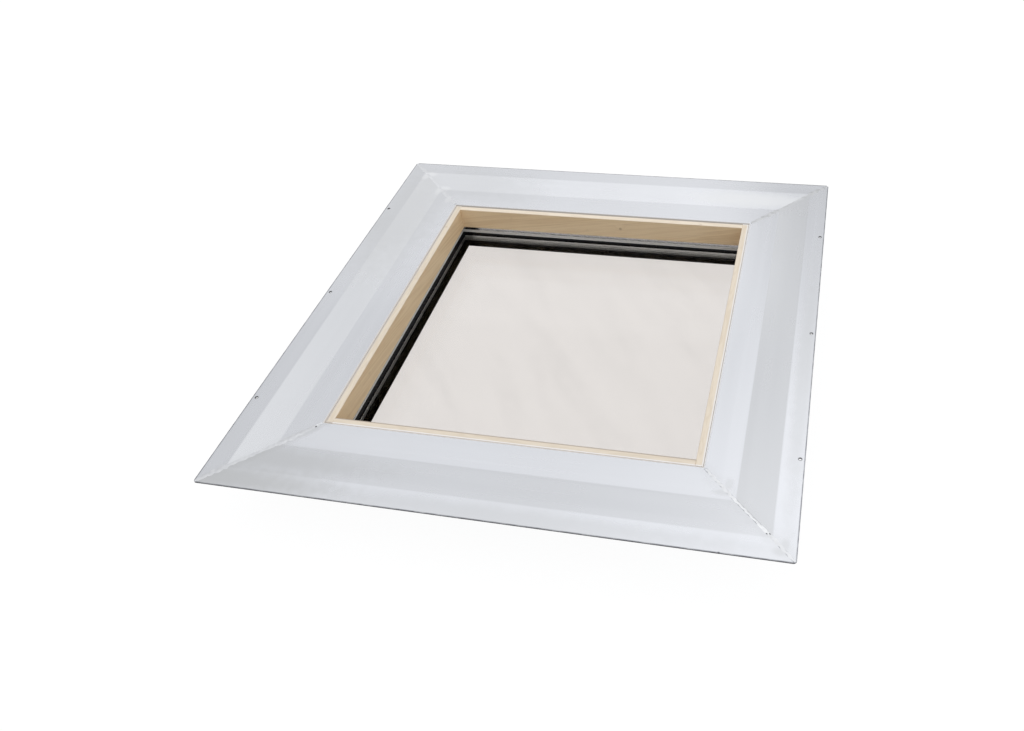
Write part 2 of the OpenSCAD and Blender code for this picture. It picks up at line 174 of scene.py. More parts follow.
def mill_aluminium(name, along_x, tone, shift, middle, mitre_shares, crevice, spots):
    """Rolled sheet: faint streaks along the strip, soft clouds, a tone by side as painted shade, a middle
    band painted by a share to a colour, as painted shade on some sides and painted light on others, a cut
    edge darkened by grime and painted shade, painted shade round the nail holes, metal sanded dull by a share
    at each mitre, painted light and shade in the crevice by the board, painted shade on the curb wall's
    inside with a painted highlight line at its foot, and spots given by centre, half sizes, share and colour:
    the long ones painted light and shade, the small ones rubbed marks."""
    material, tree, place = new_finish(name)
    axes = axes_of(tree, place)
    from_middle = [sum_of(tree, "ABSOLUTE", axes[axis]) for axis in "XY"]
    out = sum_of(tree, "MAXIMUM", *from_middle)
    off_mitre = sum_of(tree, "ABSOLUTE", sum_of(tree, "SUBTRACT", *from_middle))
    streak_place, line_place, wave_place = (
        stretched(tree, place, lengthwise(along_x, *scales), shift=shift)
        for scales in ((0.7, 55.0), (4.0, 600.0), (1.3, 5.0)))
    streaks = grain(tree, streak_place, detail=4.0, roughness=0.6)
    lines = grain(tree, line_place, detail=1.0)
    clouds = grain(tree, stretched(tree, place, (7.0, 7.0, 7.0), shift=shift), detail=5.0, roughness=0.55)
    waves = grain(tree, wave_place, detail=1.0)
    ragged = grain(tree, place, 55.0, detail=4.0)

    near = sum_of(tree, "SUBTRACT", off_mitre, sum_of(tree, "MULTIPLY", ragged, 0.040))
    mitre_share = between(tree, axes["X" if along_x else "Y"], -0.05, 0.05, *mitre_shares)
    rubbed_and_painted = sum_of(tree, "MULTIPLY", between(tree, near, -0.014, 0.006, 1.0, 0.0), mitre_share)
    # The tone differs by side as painted shade, the left strip darkest.
    dark, light, cloudy = ([tone * part for part in shade] for shade in sheet_shades)
    colour = tinted(tree, between(tree, streaks, 0.3, 0.7), dark, light)
    colour = tinted(tree, between(tree, clouds, 0.4, 0.75, 0.0, 0.6), colour, cloudy)
    # Painted shade and light: the middle band is darker on the front and right, paler on the back and left.
    band_paint_share, band_paint_colour = middle
    past_inner = between(tree, out, inner_fold - fold_blur, inner_fold + fold_blur, 0.0, band_paint_share)
    before_outer = between(tree, out, outer_fold - fold_blur, outer_fold + fold_blur, 1.0, 0.0)
    colour = tinted(tree, sum_of(tree, "MULTIPLY", past_inner, before_outer), colour, band_paint_colour)
    colour = tinted(tree, rubbed_and_painted, colour, sanded_grey_and_shade)
    # Long spots paint light and shade over stretches of the bands; the small ones are rubbed marks.
    for centre, (half_x, half_y), share, shade in spots:
        inputs = {"Vector": place, "Location": (*centre, 0.0), "Scale": (half_x, half_y, 1e6)}
        from_spot = add_node(tree, "ShaderNodeMapping", inputs, vector_type="TEXTURE").outputs["Vector"]
        reach = distance_to(tree, from_spot, (0.0, 0.0, 0.0))
        reach = sum_of(tree, "ADD", reach, sum_of(tree, "MULTIPLY", ragged, 0.5))
        spot = between(tree, reach, 0.45, 1.25, share, 0.0)
        colour = tinted(tree, spot, colour, shade)
        rubbed_and_painted = sum_of(tree, "MAXIMUM", rubbed_and_painted, spot)

    # Painted shade: a dark ring round each nail hole.
    if not along_x:
        hole_along = sum_of(tree, "PINGPONG", axes["Y"], nail_spacing / 2)
        hole_across = sum_of(tree, "SUBTRACT", out, nail_line)
        hole_place = add_node(tree, "ShaderNodeCombineXYZ", {"X": hole_along, "Y": hole_across})
        from_hole = distance_to(tree, hole_place.outputs["Vector"], (0.0, 0.0, 0.0))
        colour = tinted(tree, between(tree, from_hole, nail_r, nail_r * 1.9, 0.9, 0.0), colour, hole_ring_shade)
    # The cut edge is darkened, partly grime and partly painted shade.
    cut = between(tree, out, flange_edge - 0.0026, flange_edge - 0.0006)
    edge_darkening = sum_of(tree, "MULTIPLY", cut, between(tree, ragged, 0.25, 0.65, 0.45, 0.9))
    colour = tinted(tree, edge_darkening, colour, grime_and_edge_shade)

    # Painted light and shade in the crevice by the board, with the metal made not metallic there.
    by_board = between(tree, out, curb_face + 0.0012, curb_face + 0.0046, 1.0, 0.0)
    over_board = between(tree, axes["Z"], board_top - 0.004, board_top - 0.002)
    in_crevice = sum_of(tree, "MULTIPLY", by_board, over_board)
    colour = tinted(tree, in_crevice, colour, crevice)
    # Painted shade on the curb wall's inside, darkest near the bead.
    on_wall = between(tree, out, curb_face + 0.0003, curb_face + 0.0010, 1.0, 0.0)
    wall_shade_share = between(tree, axes["Z"], bead_top, bead_top + 0.017, 0.95, 0.25)
    colour = tinted(tree, sum_of(tree, "MULTIPLY", on_wall, wall_shade_share), colour, wall_painted_shade)
    # A painted highlight: a pale, not metallic line at the foot of the curb wall.
    foot_share = between(tree, axes["Z"], bead_top + 0.003, bead_top + 0.005, 1.0, 0.0)
    at_foot = sum_of(tree, "MULTIPLY", on_wall, foot_share)
    colour = tinted(tree, at_foot, colour, painted_highlight_pale)

    # Not metallic where light and shade are painted in the crevice and the highlight at the wall's foot.
    painted_matte = sum_of(tree, "MAXIMUM", in_crevice, at_foot)
    dull = between(tree, sum_of(tree, "ADD", streaks, clouds), 0.6, 1.4, 0.23, 0.29)
    dull = sum_of(tree, "ADD", dull, sum_of(tree, "MULTIPLY", rubbed_and_painted, 0.12))
    dull = sum_of(tree, "SUBTRACT", dull, sum_of(tree, "MULTIPLY", on_wall, 0.10))
    swirl = grain(tree, stretched(tree, place, (60.0, 700.0, 60.0), (0.0, 0.0, 0.5)), detail=2.0)
    off_wall = sum_of(tree, "SUBTRACT", 1.0, on_wall)
    normal = raised(tree, sum_of(tree, "MULTIPLY", waves, off_wall), 0.0012, 0.2)
    normal = raised(tree, sum_of(tree, "MULTIPLY", lines, off_wall), 0.0000018, 1.0, normal)
    normal = raised(tree, sum_of(tree, "MULTIPLY", swirl, rubbed_and_painted), 0.00002, 1.0, normal)
    to_surface(
        tree,
        Base_Color=colour,
        Metallic=sum_of(tree, "SUBTRACT", 1.0, painted_matte),
        Roughness=dull,
        Normal=normal)
    return material


def sheared_metal():
    """The cut edge of the sheet and its pierced holes: torn and dull, near black, partly oxide and partly
    painted shade.
    """
    material, tree, place = new_finish("sheared_edge", Metallic=1.0)
    torn = grain(tree, stretched(tree, place, (300.0, 300.0, 1800.0)), detail=4.0)
    to_surface(
        tree,
        Base_Color=tinted(tree, between(tree, torn, 0.3, 0.7), *torn_and_shaded),
        Roughness=between(tree, torn, 0.2, 0.8, 0.45, 0.7),
        Normal=raised(tree, torn, 0.0001))
    return material


def merged_copy(node, flat_within=0.2):
    """A copy of a node's mesh, with its loose triangles joined to whole faces."""
    shape = bmesh.new()
    shape.from_mesh(nodes[node].data)
    bmesh.ops.remove_doubles(shape, verts=shape.verts, dist=1e-6)
    bmesh.ops.dissolve_limit(
        shape, angle_limit=math.radians(flat_within), verts=shape.verts, edges=shape.edges)
    return shape


def as_piece(name, shape, finishes, slot, *stands_for):
    """A finished piece of the skylight, made from a bmesh."""
    mesh = bpy.data.meshes.new(name)
    shape.to_mesh(mesh)
    shape.free()
    for finish in finishes:
        mesh.materials.append(finish)
    piece = bpy.data.objects.new(name, mesh)
    bpy.context.scene.collection.objects.link(piece)
    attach(piece, "root")
    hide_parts(*stands_for)
    return piece


def smooth_folds(piece, sharp_from=30.0):
    """Smooth folds beside flat faces that stay flat."""
    for face in piece.data.polygons:
        face.use_smooth = True
    piece.data.set_sharp_from_angle(angle=math.radians(sharp_from))
    weighted = piece.modifiers.new("flat faces", "WEIGHTED_NORMAL")
    weighted.keep_sharp = True
    weighted.weight = 100


def eased(shape, edges, width, segments):
    """Rounds edges of a shape to a width."""
    bmesh.ops.bevel(shape, geom=edges, offset=width, offset_type="OFFSET", affect="EDGES", segments=segments,
                    profile=0.5, material=-1, clamp_overlap=True)


def distance_out(point):
    """Distance of a point from the centre, towards its own side."""
    return max(abs(point.x), abs(point.y))


def on_slight_fold(edge):
    """Whether an edge lies along one of the two slight folds between the flange's bands."""
    gaps = [min(abs(distance_out(v.co) - fold) for fold in (inner_fold, outer_fold)) for v in edge.verts]
    return len(edge.link_faces) == 2 and max(gaps) < 1e-5 and edge.calc_length() > middle_band


def is_corner(edge, sharper_than=1.0):
    """Whether an edge is a sharp corner between two faces. The angle is in radians."""
    return len(edge.link_faces) == 2 and edge.calc_face_angle() > sharper_than


def at_cut_edge(vertices):
    """Whether vertices all lie in the cut edge round the flange."""
    return all(distance_out(v.co) > flange_edge - corner_r for v in vertices)


def is_level(edge):
    """Whether an edge's ends are at one height."""
    return abs(edge.verts[0].co.z - edge.verts[1].co.z) < 1e-6


def in_nail_hole(face):
    """Whether a face is in the wall of a pierced nail hole."""
    middle = face.calc_center_median()
    along = min(abs(middle.y - row * nail_spacing) for row in (-1, 0, 1))
    return math.hypot(along, abs(middle.x) - nail_line) < nail_r * 1.1


soft_fold = 0.0016
eased_edge = 0.0002
flat_from = 0.8
sheared_edge = sheared_metal()
# Crevice colours: the pale one is painted light on the front and right, the others painted shade.
painted_lit_crevice, painted_half_shade, painted_crevice_shade = (0.95, 0.93, 0.92), (0.64, 0.59, 0.54), (0.40, 0.36, 0.32)
# Painted light and shade: each side's tone and middle band, the crevice colours and the long spots. The
# front's small dark spot at its edge is a nick painted dark as painted shade.
sheets = {
    "front": dict(
        tone=1.02, shift=(0.0, 0.0, 0.0), middle=(0.2, sanded_grey_and_shade),
        mitre_shares=(0.5, 0.15), crevice=painted_lit_crevice, spots=[
            ((-0.39, -0.404), (0.34, 0.038), 0.6, sanded_grey_and_shade),
            ((-0.43, -0.452), (0.28, 0.034), 0.9, sanded_grey_and_shade),
            ((0.06, -0.458), (0.52, 0.026), 0.4, sanded_grey_and_shade),
            ((0.362, -0.4695), (0.0030, 0.0024), 0.95, nick_shade),
            ((0.352, -0.363), (0.022, 0.008), 0.4, sanded_grey_and_shade),
            ((0.445, -0.455), (0.016, 0.010), 0.4, sanded_grey_and_shade)]),
    "right": dict(
        tone=1.01, shift=(3.1, 1.7, 0.0), middle=(0.45, sanded_grey_and_shade),
        mitre_shares=(0.15, 0.1), crevice=painted_lit_crevice, spots=[
            ((0.456, -0.10), (0.022, 0.46), 0.4, sanded_grey_and_shade),
            ((0.452, -0.442), (0.010, 0.016), 0.4, sanded_grey_and_shade),
            ((0.362, -0.345), (0.010, 0.018), 0.35, sanded_grey_and_shade)]),
    "back": dict(
        tone=1.0, shift=(7.4, 2.2, 0.0), middle=(0.1, brushed_pale_and_light),
        mitre_shares=(0.1, 0.0), crevice=painted_crevice_shade, spots=[
            ((-0.33, 0.40), (0.27, 0.10), 0.4, sanded_grey_and_shade),
            ((0.31, 0.404), (0.17, 0.034), 0.95, brushed_pale_and_light),
            ((-0.42, 0.428), (0.020, 0.012), 0.7, brushed_pale_and_light),
            ((-0.37, 0.378), (0.024, 0.012), 0.6, brushed_pale_and_light)]),
    "left": dict(
        tone=0.955, shift=(5.3, 8.9, 0.0), middle=(0.4, brushed_pale_and_light),
        mitre_shares=(0.1, 0.1), crevice=painted_half_shade, spots=[
            ((-0.42, 0.27), (0.12, 0.30), 0.55, sanded_grey_and_shade),
            ((-0.428, 0.42), (0.012, 0.020), 0.7, brushed_pale_and_light),
            ((-0.378, 0.37), (0.012, 0.024), 0.6, brushed_pale_and_light),
            ((-0.345, 0.338), (0.010, 0.018), 0.5, brushed_pale_and_light)])}
for side, looks in sheets.items():
    sheet = merged_copy("flashing_" + side)
    eased(sheet, [edge for edge in sheet.edges if on_slight_fold(edge)], soft_fold, segments=4)
    rims = [edge for edge in sheet.edges if is_corner(edge) and at_cut_edge(edge.verts) and is_level(edge)]
    eased(sheet, rims, eased_edge, segments=2)
    for face in sheet.faces:
        cut = at_cut_edge(face.verts) or in_nail_hole(face)
        face.material_index = 1 if cut and abs(face.normal.z) < flat_from else 0
    finish = mill_aluminium("mill_aluminium_" + side, runs_along_x[side], **looks)
    piece = as_piece("sheet_" + side, sheet, [finish, sheared_edge], "sheet_aluminium", "flashing_" + side)
    smooth_folds(piece)


# Corner welds: aluminium beads that fill the mitres' grooves and run down the curb's outer corners.
# They are laid by hand, in overlapping puddles, and ground down unevenly afterwards.
mm = 0.001
weld_start = inner_fold - 52 * mm
weld_end = flange_edge - corner_r * (1 - math.sqrt(0.5)) - 0.8 * mm
puddle = 9.5 * mm
groove_half, groove_depth = 2.5 * mm, 1.25 * mm
pit_depth = 1.3 * mm
weld_sharp_from = 50.0
sanded_weld = (0.66, 0.665, 0.675), (0.76, 0.765, 0.775)
bright_weld = (0.76, 0.765, 0.785), (0.85, 0.855, 0.87)
fresh_weld = (0.78, 0.785, 0.80), (0.87, 0.875, 0.89)
# A painted highlight on the weld's crest, and painted shade in its pits.
painted_crest_highlight = (0.95, 0.955, 0.965)
pit_painted_shade = (0.03, 0.03, 0.03)


def way_out(tree, axes):
    """Distance from the centre towards the nearest side, as a value of a finish."""
    return sum_of(tree, "MAXIMUM", *[sum_of(tree, "ABSOLUTE", axes[axis]) for axis in "XY"])


def weld_metal(name, shades, pit_places=(), crest=0.0):
    """Weld metal: two uneven shades, a fine frosted skin, pits painted dark as painted shade, and by a share
    a painted highlight on the crest where the weld crosses the flange's middle band."""
    material, tree, place = new_finish(name, Metallic=1.0)
    speckle = grain(tree, place, 900.0, detail=4.0)
    frost = grain(tree, place, 110.0, detail=4.0)
    colour = tinted(tree, between(tree, frost, 0.3, 0.7), *shades)
    if crest:
        out = way_out(tree, axes_of(tree, place))
        past_inner = between(tree, out, inner_fold - 0.012, inner_fold + 0.004, 0.0, crest)
        before_outer = between(tree, out, outer_fold - 0.010, outer_fold - 0.004, 1.0, 0.0)
        colour = tinted(tree, sum_of(tree, "MULTIPLY", past_inner, before_outer), colour, painted_crest_highlight)
    for pit in pit_places:
        in_pit = between(tree, distance_to(tree, place, pit), 0.0009, 0.0020, 0.95, 0.0)
        colour = tinted(tree, in_pit, colour, pit_painted_shade)
    to_surface(
        tree,
        Base_Color=colour,
        Roughness=between(tree, frost, 0.2, 0.8, 0.30, 0.42),
        Normal=raised(tree, speckle, 0.00003))
    return material


def sheet_height(out):
    """Height of the flange's face at a distance from the centre."""
    fall = (outer_fold - out) / middle_band
    return flange_top - band_drop * min(max(fall, 0.0), 1.0)


def along_run(steps, run):
    """A value at a place along a run from 0 to 1, from values at even steps."""
    step = run * (len(steps) - 1)
    low = min(int(step), len(steps) - 2)
    return steps[low] + (steps[low + 1] - steps[low]) * (step - low)


def across_mitre(signs):
    """The way across a mitre, level."""
    return Vector((signs[0], -signs[1], 0.0)) * math.sqrt(0.5)


def weld_bead(signs, proud, reach, pits, seed):
    """A bead along one mitre: proud and reach give its height and half width, in millimetres, at even steps
    from the curb to the corner. Pits are given by distance out, distance aside and radius."""
    bead = bmesh.new()
    bmesh.ops.create_grid(bead, x_segments=360, y_segments=14, size=1.0)
    raised_part = bmesh.ops.extrude_face_region(bead, geom=bead.faces[:])["geom"]
    top = {v for v in raised_part if isinstance(v, bmesh.types.BMVert)}
    across = across_mitre(signs)
    for v in bead.verts:
        run, side = (v.co.x + 1) / 2, v.co.y
        out = weld_start + run * (weld_end - weld_start)
        spot = Vector((out * 130, seed, 0.0))
        drift = 1.6 * noise.noise(spot * 0.5)
        bulge = abs(math.sin(math.pi * out / puddle + drift + (1.1 if side > 0 else 0.0)))
        wander = noise.noise(spot + Vector((0, side, 3)))
        half = mm * along_run(reach, run) * (0.55 + 0.50 * bulge + 0.28 * wander)
        aside = side * half + 0.6 * mm * noise.noise(spot * 0.4 + Vector((0, 9, 0)))
        if v in top:
            ripple = abs(math.sin(math.pi * out / puddle + drift - 0.9 * side * side))
            lump = noise.noise(Vector((out * 240, side * 1.3, seed)))
            crown = mm * along_run(proud, run) * (0.62 + 0.45 * ripple + 0.5 * lump)
            height = crown * (1 - side * side) + 0.03 * mm
            for pit_out, pit_aside, pit_r in pits:
                gap = math.hypot((out - pit_out * mm) * math.sqrt(2), aside - pit_aside * mm)
                height -= pit_depth * max(0.0, 1 - (gap / (pit_r * mm)) ** 2)
        else:
            height = -groove_depth * max(0.0, 1 - abs(aside) / groove_half)
        v.co = Vector((signs[0] * out, signs[1] * out, sheet_height(out) + height)) + across * aside
    bmesh.ops.recalc_face_normals(bead, faces=bead.faces)
    return bead


seed_step = 7.3
mitres = {
    "front_left": dict(
        signs=(-1, -1), shades=bright_weld, crest=0.0, pits=[(329.0, -1.2, 1.2)],
        proud=[0.02, 0.10, 0.2, 0.24, 0.2, 0.14, 0.2, 0.16, 0.1, 0.12, 0.08],
        reach=[1.6, 4.0, 5.2, 6.4, 7.0, 6.0, 7.0, 7.6, 6.4, 4.8, 2.5]),
    "front_right": dict(
        signs=(1, -1), shades=fresh_weld, crest=0.9, pits=[(426.0, -2.4, 1.5), (428.0, 2.4, 1.5)],
        proud=[0.05, 0.08, 0.1, 0.15, 0.28, 0.34, 0.32, 0.2, 0.08, 0.06, 0.05],
        reach=[2.0, 2.8, 3.0, 2.6, 2.0, 1.9, 2.0, 4.4, 3.4, 2.6, 2.0]),
    "back_right": dict(
        signs=(1, 1), shades=sanded_weld, crest=0.0, pits=[],
        proud=[0.06, 0.12, 0.1, 0.14, 0.12, 0.14, 0.12, 0.12, 0.1, 0.08, 0.06],
        reach=[2.5, 5.0, 6.2, 5.8, 7.0, 7.4, 6.4, 7.0, 5.6, 4.0, 2.5]),
    "back_left": dict(
        signs=(-1, 1), shades=bright_weld, crest=0.0, pits=[],
        proud=[0.05, 0.08, 0.1, 0.08, 0.1, 0.08, 0.1, 0.08, 0.08, 0.06, 0.05],
        reach=[2.5, 4.4, 5.4, 5.2, 6.0, 5.4, 6.0, 5.0, 5.0, 4.0, 2.5])}
for order, (corner, weld) in enumerate(mitres.items()):
    signs, pits = weld["signs"], weld["pits"]
    across = across_mitre(signs)
    pit_places = [Vector((signs[0] * out, signs[1] * out, 0.0)) * mm + across * aside * mm
                  + Vector((0.0, 0.0, sheet_height(out * mm))) for out, aside, _ in pits]
    finish = weld_metal("weld_" + corner, weld["shades"], pit_places, weld["crest"])
    bead = weld_bead(signs, weld["proud"], weld["reach"], pits, order * seed_step)
    piece = as_piece("weld_" + corner, bead, [finish], "weld", "corner_welds")
    smooth_folds(piece, weld_sharp_from)

sheet_t = 2 * mm
fold_r = 4 * mm
curb_bead_r = 1.55 * mm
curb_weld = weld_metal("curb_weld", sanded_weld)
wall_low, wall_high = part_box("corner_welds")[0].z, flange_top - band_drop - fold_r
curb_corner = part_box("flashing_front")[1].y * -1 + sheet_t
for corner, weld in mitres.items():
    signs = weld["signs"]
    bead = bmesh.new()
    bmesh.ops.create_cone(bead, cap_ends=True, segments=20, radius1=1.0, radius2=1.0, depth=1.0)
    uprights = [edge for edge in bead.edges if not is_level(edge)]
    bmesh.ops.subdivide_edges(bead, edges=uprights, cuts=90)
    for v in bead.verts:
        height = wall_low + (v.co.z + 0.5) * (wall_high - wall_low)
        spot = Vector((height * 300, signs[0] * 5.0, signs[1] * 9.0))
        ripple = 0.18 * mm * math.sin(height * 2500 + v.co.x)
        radius = curb_bead_r + ripple + 0.2 * mm * noise.noise(spot)
        corner_place = Vector((signs[0] * curb_corner, signs[1] * curb_corner, height))
        v.co = corner_place + Vector((v.co.x * radius, v.co.y * radius, 0.0))
    piece = as_piece("curb_weld_" + corner, bead, [curb_weld], "weld", "corner_welds")
    smooth_folds(piece, weld_sharp_from)


# Liner: four planed softwood boards inside the curb, which face the opening in the room.
# The side boards run through and the others butt between them. Screws hold them through the curb.
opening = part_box("liner_left")[1].x * -1
board_knot = (0.0494, 0.305, 0.0796)
planed_corner = 0.0006
long_edge = 0.1
face_shades = (0.755, 0.575, 0.362), (0.675, 0.492, 0.292)
edge_shades = (0.845, 0.742, 0.608), (0.79, 0.682, 0.547)
pale_band = (0.795, 0.625, 0.41)
pore_brown, edge_pore = (0.46, 0.31, 0.18), (0.60, 0.50, 0.38)
fleck_brown, stain_brown = (0.58, 0.41, 0.25), (0.42, 0.29, 0.17)
knot_brown = (0.33, 0.21, 0.12)
arris_darker = (0.36, 0.29, 0.23)


def planed_wood(name, along_x, shift, arris_share, knot, edge_light_tone, crevice):
    """Pale softwood: early and late wood in long bands at a slight slant, fine pores, paler sanded edges
    towards the room, lightened by an edge tone per board as painted light, and a small knot where the board
    has one. The edge's arris is drawn darker by a share, and the painted light and shade of the crevice by
    the sheet lies on its far side."""
    material, tree, place = new_finish(name)
    slant = (0.0, 0.16, 0.0) if along_x else (0.16, 0.0, 0.0)
    bent = place
    if knot:
        from_knot = distance_to(tree, place, knot)
        lift = sum_of(tree, "MULTIPLY", between(tree, from_knot, 0.0, 0.018, 1.0, 0.0), 0.012)
        lifted = add_node(tree, "ShaderNodeCombineXYZ", {"Z": lift}).outputs["Vector"]
        moved = add_node(tree, "ShaderNodeVectorMath", {0: place, 1: lifted}, operation="ADD")
        bent = moved.outputs["Vector"]
    band_place = stretched(tree, bent, lengthwise(along_x, 1.3, 34.0), slant, shift)
    bands = grain(tree, band_place, detail=3.0, roughness=0.55, distortion=0.4)
    rings = sum_of(tree, "PINGPONG", sum_of(tree, "MULTIPLY", bands, 9.0), 0.5)
    ring_share = between(tree, rings, 0.1, 0.5)
    pores, flecks = (
        grain(tree, stretched(tree, place, lengthwise(along_x, *scales), slant, shift), detail=2.0)
        for scales in ((14.0, 900.0), (45.0, 260.0)))
    colour = tinted(tree, ring_share, *face_shades)
    colour = tinted(tree, between(tree, bands, 0.35, 0.7, 0.0, 0.45), colour, pale_band)
    colour = tinted(tree, between(tree, pores, 0.55, 0.75, 0.0, 0.28), colour, pore_brown)
    colour = tinted(tree, between(tree, flecks, 0.6, 0.8, 0.0, 0.25), colour, fleck_brown)
    if knot:
        colour = tinted(tree, between(tree, from_knot, 0.0015, 0.0045, 0.6, 0.0), colour, knot_brown)

    axes = axes_of(tree, place)
    out = way_out(tree, axes)
    # Painted light: the edge tone lightens the back board's edge most.
    paler = tinted(tree, ring_share, *[[edge_light_tone * part for part in shade] for shade in edge_shades])
    paler = tinted(tree, between(tree, pores, 0.55, 0.8, 0.0, 0.2), paler, edge_pore)
    on_arris = between(tree, out, opening + 0.0012, opening + 0.0034, arris_share, 0.0)
    paler = tinted(tree, on_arris, paler, arris_darker)
    # Painted light and shade from the crevice by the sheet.
    by_sheet = between(tree, out, curb_face - 0.0036, curb_face - 0.0010, 0.0, 0.8)
    paler = tinted(tree, by_sheet, paler, crevice)
    on_edge = between(tree, axes["Z"], board_top - 0.0016, board_top - 0.0004)
    colour = tinted(tree, on_edge, colour, paler)
    stains = grain(tree, stretched(tree, place, (38.0, 38.0, 38.0), shift=shift), detail=4.0)
    colour = tinted(tree, between(tree, stains, 0.66, 0.78, 0.0, 0.25), colour, stain_brown)
    to_surface(
        tree,
        Base_Color=colour,
        Roughness=between(tree, pores, 0.3, 0.7, 0.5, 0.7),
        Normal=raised(tree, pores, 0.00003, 1.0, raised(tree, rings, 0.00005, 0.6)))
    return material


def dress(node, finish):
    """Gives a node that keeps its shape its finish."""
    nodes[node].data.materials.clear()
    nodes[node].data.materials.append(finish)


# Edge light tones are painted light: the back board's most, the right's a little.
boards = {
    "front": dict(shift=(0.3, 2.0, 5.0), arris_share=0.8, knot=None, edge_light_tone=1.0),
    "right": dict(shift=(4.1, 0.7, 3.0), arris_share=0.0, knot=None, edge_light_tone=1.03),
    "back": dict(shift=(8.2, 6.1, 1.0), arris_share=0.0, knot=board_knot, edge_light_tone=1.11),
    "left": dict(shift=(2.4, 9.3, 7.0), arris_share=0.0, knot=None, edge_light_tone=1.0)}
for side, looks in boards.items():
    board = merged_copy("liner_" + side)
    long_corners = [edge for edge in board.edges if is_corner(edge) and edge.calc_length() > long_edge]
    eased(board, long_corners, planed_corner, segments=3)
    crevice = sheets[side]["crevice"]
    finish = planed_wood("planed_wood_" + side, runs_along_x[side], crevice=crevice, **looks)
    piece = as_piece("board_" + side, board, [finish], "liner_wood", "liner_" + side)
    smooth_folds(piece)


# Liner screws: pan-head screws of zinc-plated steel, driven from outside through the curb into the boards.
# Their heads sit against the curb's outer face, under the flange.
def plated_steel(name, colour):
    """Bright plated steel with a faint brushed grain and dull spots."""
    material, tree, place = new_finish(name, Metallic=1.0)
    spots = grain(tree, place, 700.0, detail=4.0)
    brushed = grain(tree, stretched(tree, place, (300.0, 300.0, 3000.0)), detail=2.0)
    to_surface(
        tree,
        Base_Color=tinted(tree, between(tree, spots, 0.45, 0.75), colour, [0.7 * part for part in colour]),
        Roughness=between(tree, spots, 0.3, 0.8, 0.22, 0.42),
        Normal=raised(tree, brushed, 0.00001))
    return material


zinc_grey = (0.62, 0.62, 0.60)
dress("liner_screws", plated_steel("zinc_plate", zinc_grey))


# Glass unit: two float panes round a cavity, with aluminium spacer bars, keyed corners, drying beads,
# butyl seals along the bars and a black sealant that fills the edge.
# The panes' index is set below real glass, because the seals behind them show almost no reflections.
def float_glass(name, tint):
    """Clear float glass with a faint film of dust in wiped streaks."""
    material, tree, place = new_finish(name, Transmission_Weight=1.0, IOR=1.2)
    wiped = grain(tree, stretched(tree, place, (3.0, 14.0, 3.0), (0.0, 0.0, 0.9)), detail=4.0, roughness=0.6)
    dust = grain(tree, place, 45.0, detail=4.0)
    film = sum_of(tree, "MULTIPLY", between(tree, wiped, 0.4, 0.75), dust)
    to_surface(
        tree,
        Base_Color=tinted(tree, film, tint, [0.955 * part for part in tint]),
        Roughness=between(tree, film, 0.0, 0.6, 0.0, 0.02))
    return material


warm_tint = (0.892, 0.874, 0.861)
dress("room_pane", float_glass("room_glass", warm_tint))
dress("weather_pane", float_glass("weather_glass", warm_tint))

spacer_low, spacer_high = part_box("spacer_front")[0].z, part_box("spacer_front")[1].z
slot_spacing = 0.0044
slot_height = spacer_low + 0.3 * (spacer_high - spacer_low)
seam_height = spacer_low + 0.55 * (spacer_high - spacer_low)
spacer_shades = (0.54, 0.54, 0.52), (0.66, 0.66, 0.64)
slot_dark = (0.08, 0.08, 0.08)


def spacer_metal(name, along_x):
    """Roll-formed spacer strip: a fine grain along the bar, a seam line and a row of small breather slots."""
    material, tree, place = new_finish(name, Metallic=1.0)
    fine = grain(tree, stretched(tree, place, lengthwise(along_x, 8.0, 900.0)), detail=2.0)
    axes = axes_of(tree, place)
    slots = sum_of(tree, "PINGPONG", axes["X" if along_x else "Y"], slot_spacing / 2)
    open_slot = between(tree, slots, 0.0004, 0.0007, 1.0, 0.0)
    off_row, off_seam = (
        sum_of(tree, "ABSOLUTE", sum_of(tree, "SUBTRACT", axes["Z"], height))
        for height in (slot_height, seam_height))
    pierced = sum_of(tree, "MULTIPLY", open_slot, between(tree, off_row, 0.0008, 0.0012, 1.0, 0.0))
    pierced = sum_of(tree, "MAXIMUM", pierced, between(tree, off_seam, 0.0002, 0.0005, 0.8, 0.0))
    colour = tinted(tree, between(tree, fine, 0.3, 0.7), *spacer_shades)
    relief = sum_of(tree, "ADD", fine, sum_of(tree, "MULTIPLY", pierced, -6.0))
    to_surface(
        tree,
        Base_Color=tinted(tree, pierced, colour, slot_dark),
        Roughness=between(tree, fine, 0.2, 0.8, 0.42, 0.55),
        Normal=raised(tree, relief, 0.00003))
    return material


for side, along_x in runs_along_x.items():
    dress("spacer_" + side, spacer_metal("spacer_strip_" + side, along_x))


def moulded(name, colour, rough, scale, depth, gloss=0.5, highlight_above=None):
    """A soft or moulded material: uneven colour, dull spots and a fine skin. Above a given height a pale line
    is painted on it, a painted highlight."""
    material, tree, place = new_finish(name, Specular_IOR_Level=gloss)
    skin = grain(tree, place, scale, detail=4.0)
    patches = grain(tree, place, scale * 0.06, detail=3.0)
    lighter = [min(1.0, part * 1.6 + 0.001) for part in colour]
    shade = tinted(tree, between(tree, patches, 0.35, 0.75), colour, lighter)
    # Painted highlight: a pale line above the given height.
    if highlight_above:
        highlight_line = between(tree, axes_of(tree, place)["Z"], highlight_above, highlight_above + 0.0006)
        shade = tinted(tree, highlight_line, shade, painted_highlight_pale)
    to_surface(
        tree,
        Base_Color=shade,
        Roughness=between(tree, skin, 0.25, 0.75, rough - 0.08, rough + 0.1),
        Normal=raised(tree, skin, depth))
    return material


